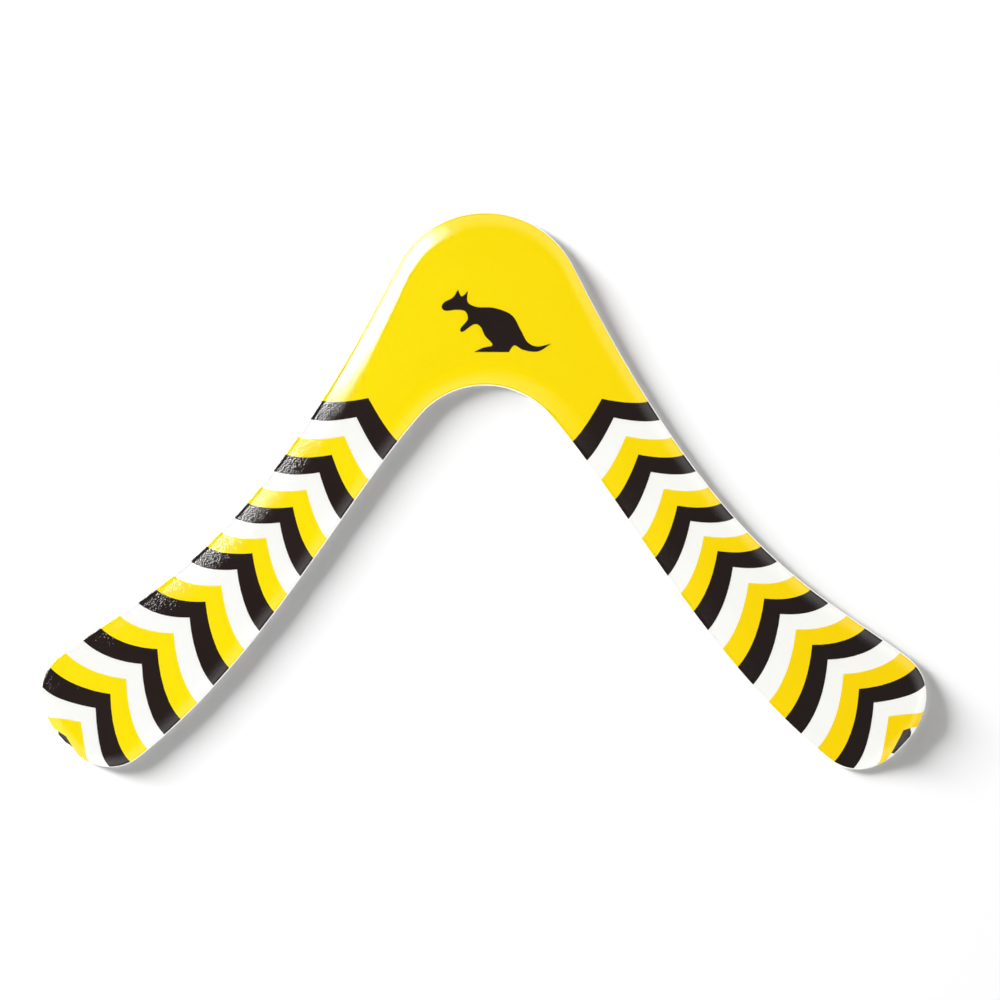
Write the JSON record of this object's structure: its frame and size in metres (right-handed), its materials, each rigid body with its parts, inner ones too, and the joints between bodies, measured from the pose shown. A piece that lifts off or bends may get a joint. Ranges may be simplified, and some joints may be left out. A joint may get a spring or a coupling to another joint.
{
  "type": "two-armed returning boomerang",
  "caption": "Flat V-shaped wooden boomerang with a rounded elbow, rounded tips, airfoil-tapered arms, and a painted yellow, black and white zigzag face.",
  "frame": {"origin": "on the plane of the flat underside, under the middle of the outline's bounding box", "axes": "+X across the span to the right arm as seen from the painted face, +Y towards the elbow, +Z out of the painted face"},
  "size_m": [0.3552, 0.2234, 0.0063],
  "materials": {
    "birch": "bare rotary-cut birch veneer under clear lacquer",
    "phenolic_glue": "dark brown phenolic glue film",
    "white_paint": "sprayed white paint under clear gloss lacquer, fine orange peel",
    "yellow_paint": "screen-printed yellow under clear gloss lacquer",
    "black_paint": "screen-printed warm black under clear gloss lacquer"
  },
  "bodies": {
    "root": {"ply_1": "birch", "ply_2": "birch", "ply_3": "birch", "ply_4": "birch", "ply_5": "birch", "glue_film_1": "phenolic_glue", "glue_film_2": "phenolic_glue", "glue_film_3": "phenolic_glue", "glue_film_4": "phenolic_glue", "base_coat": "white_paint", "elbow_yellow": "yellow_paint", "kangaroo_print": "black_paint", "left_black_band_1": "black_paint", "left_black_band_2": "black_paint", "left_black_band_3": "black_paint", "left_black_band_4": "black_paint", "left_black_band_5": "black_paint", "left_black_band_6": "black_paint", "left_black_band_7": "black_paint", "left_black_band_8": "black_paint", "right_black_band_1": "black_paint", "right_black_band_2": "black_paint", "right_black_band_3": "black_paint", "right_black_band_4": "black_paint", "right_black_band_5": "black_paint", "right_black_band_6": "black_paint", "right_black_band_7": "black_paint", "right_black_band_8": "black_paint", "left_yellow_band_1": "yellow_paint", "left_yellow_band_2": "yellow_paint", "left_yellow_band_3": "yellow_paint", "left_yellow_band_4": "yellow_paint", "left_yellow_band_5": "yellow_paint", "left_yellow_band_6": "yellow_paint", "left_yellow_band_7": "yellow_paint", "right_yellow_band_1": "yellow_paint", "right_yellow_band_2": "yellow_paint", "right_yellow_band_3": "yellow_paint", "right_yellow_band_4": "yellow_paint", "right_yellow_band_5": "yellow_paint", "right_yellow_band_6": "yellow_paint", "right_yellow_band_7": "yellow_paint"}
  },
  "joints": []
}
